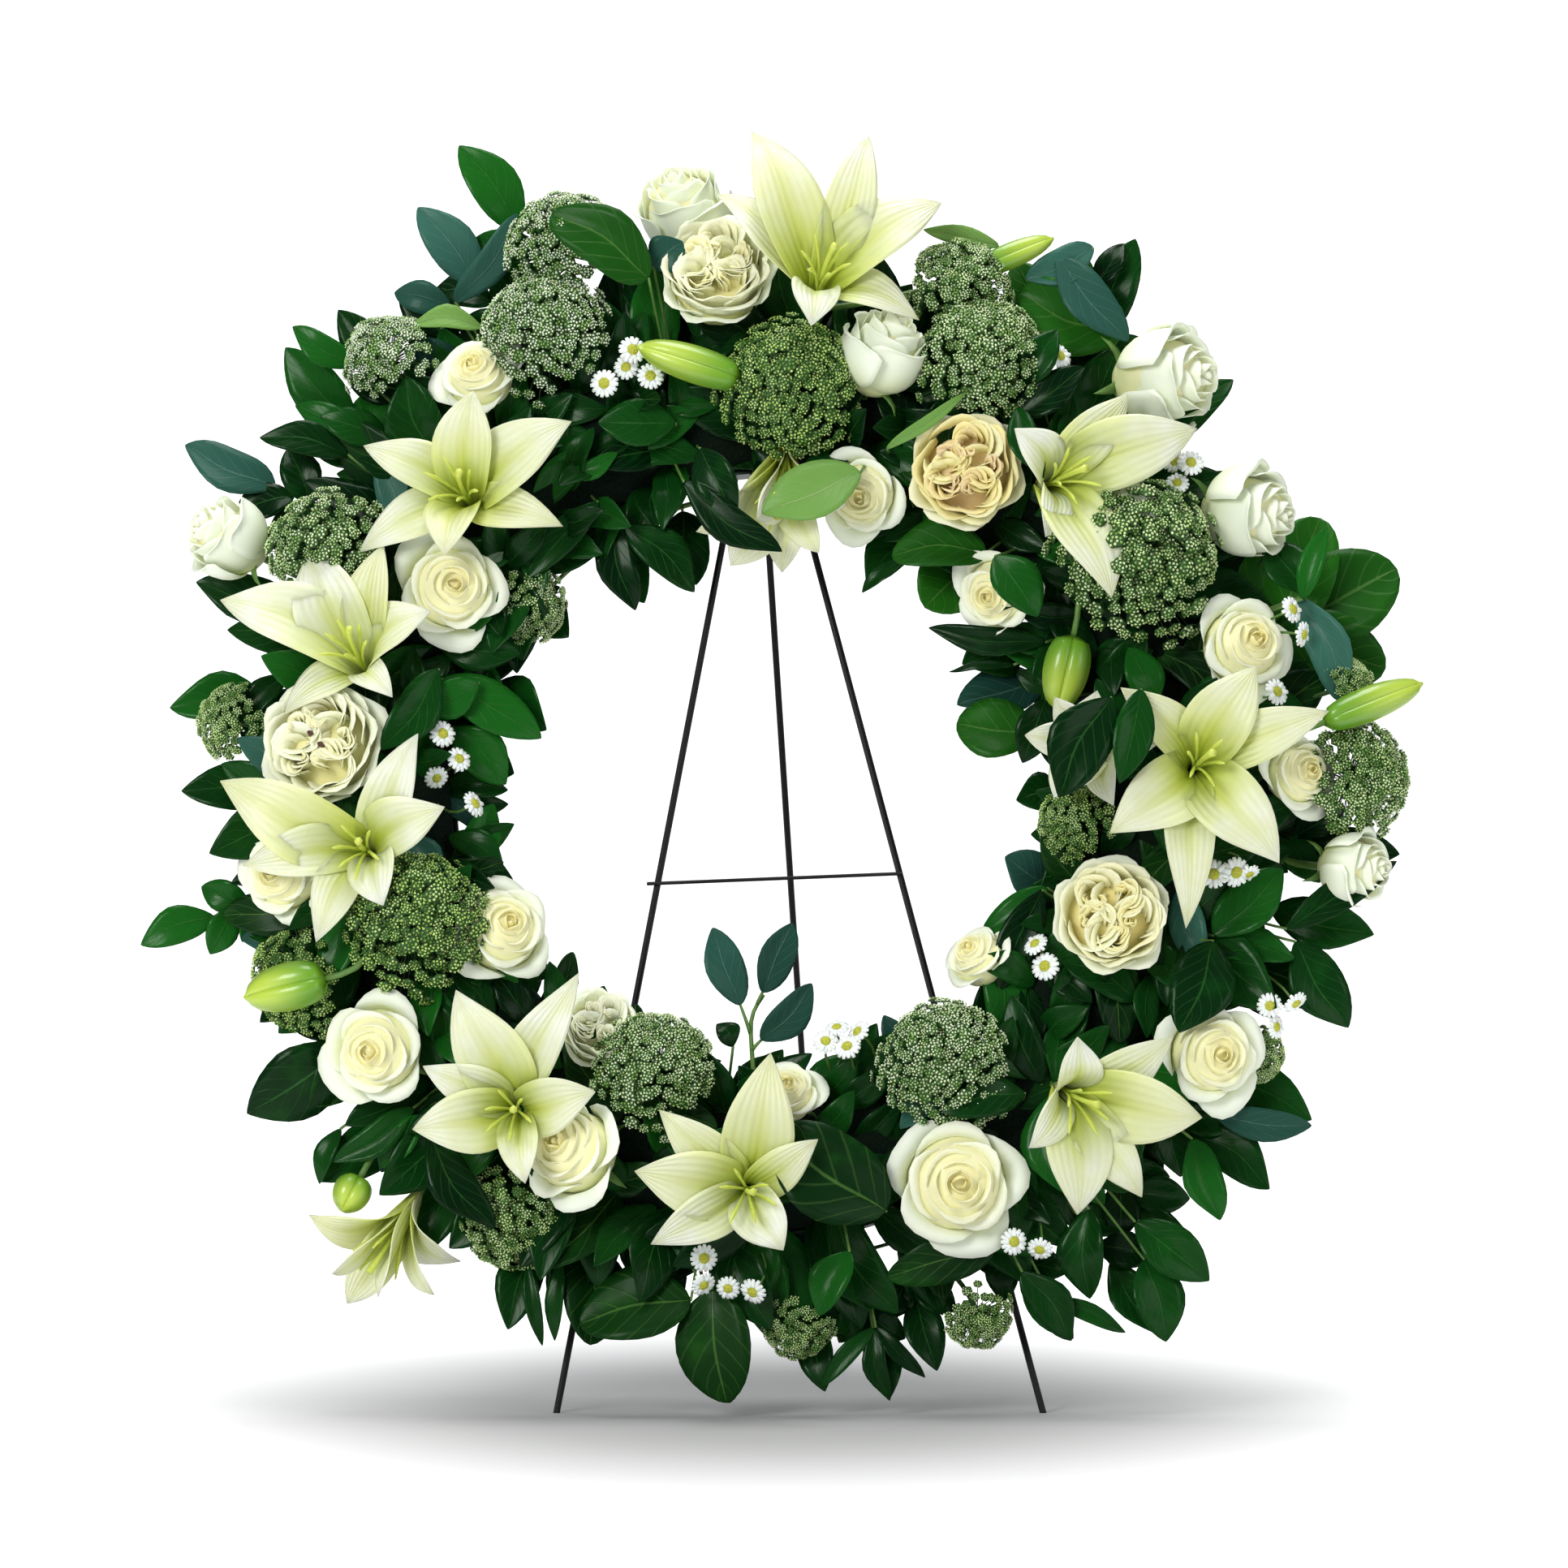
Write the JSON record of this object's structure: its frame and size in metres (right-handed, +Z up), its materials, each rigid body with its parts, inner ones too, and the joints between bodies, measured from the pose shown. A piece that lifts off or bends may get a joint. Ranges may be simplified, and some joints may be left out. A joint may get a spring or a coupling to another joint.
{
  "type": "funeral wreath on folding easel",
  "caption": "Ring wreath of white lilies, roses, lace umbels and dark leaves on wet foam, hung on a black wire easel whose rear leg folds.",
  "frame": {"origin": "on the floor, under the middle of the whole display's box", "axes": "+Z up, -Y towards the viewer whom the wreath faces, +X to that viewer's right"},
  "size_m": [0.8562, 0.4704, 0.8627],
  "materials": {
    "easel_wire": "satin",
    "staple_wire": "satin",
    "floral_foam": "matte",
    "ring_tray": "satin",
    "lily": "satin",
    "rose": "matte",
    "umbel": "matte",
    "feverfew": "matte",
    "leaf": "satin"
  },
  "bodies": {
    "display": {"foam_ring": "floral_foam", "ring_tray": "ring_tray", "lily_01": "lily", "lily_02": "lily", "lily_03": "lily", "lily_04": "lily", "lily_05": "lily", "lily_06": "lily", "lily_07": "lily", "lily_08": "lily", "lily_09": "lily", "lily_10": "lily", "lily_11": "lily", "lily_12": "lily", "umbel_01": "umbel", "umbel_02": "umbel", "umbel_03": "umbel", "umbel_04": "umbel", "umbel_05": "umbel", "umbel_06": "umbel", "umbel_07": "umbel", "umbel_08": "umbel", "umbel_09": "umbel", "umbel_10": "umbel", "rose_01": "rose", "rose_02": "rose", "rose_03": "rose", "rose_04": "rose", "rose_05": "rose", "rose_06": "rose", "rose_07": "rose", "rose_08": "rose", "rose_09": "rose", "rose_10": "rose", "rose_11": "rose", "rose_12": "rose", "rose_13": "rose", "rose_14": "rose", "rose_15": "rose", "rose_16": "rose", "rose_17": "rose", "rose_18": "rose", "rose_19": "rose", "rose_20": "rose", "feverfew_01": "feverfew", "leaf_spray_01": "leaf", "leaf_spray_02": "leaf", "leaf_spray_03": "leaf", "leaf_spray_04": "leaf", "leaf_spray_05": "leaf", "leaf_spray_06": "leaf", "leaf_spray_07": "leaf", "leaf_spray_08": "leaf", "leaf_spray_09": "leaf", "leaf_spray_10": "leaf", "front_leg_left": "easel_wire", "front_leg_right": "easel_wire", "crossbar": "easel_wire", "hanging_staple": "staple_wire"},
    "rear_leg": {"rear_leg": "easel_wire"}
  },
  "joints": [
    {"name": "rear_leg_fold", "type": "hinge", "parent": "display", "child": "rear_leg", "pos_m": [-0.01648, -0.00723, 0.67266], "axis": [-1, 0, 0], "range_deg": [0, 28]}
  ]
}
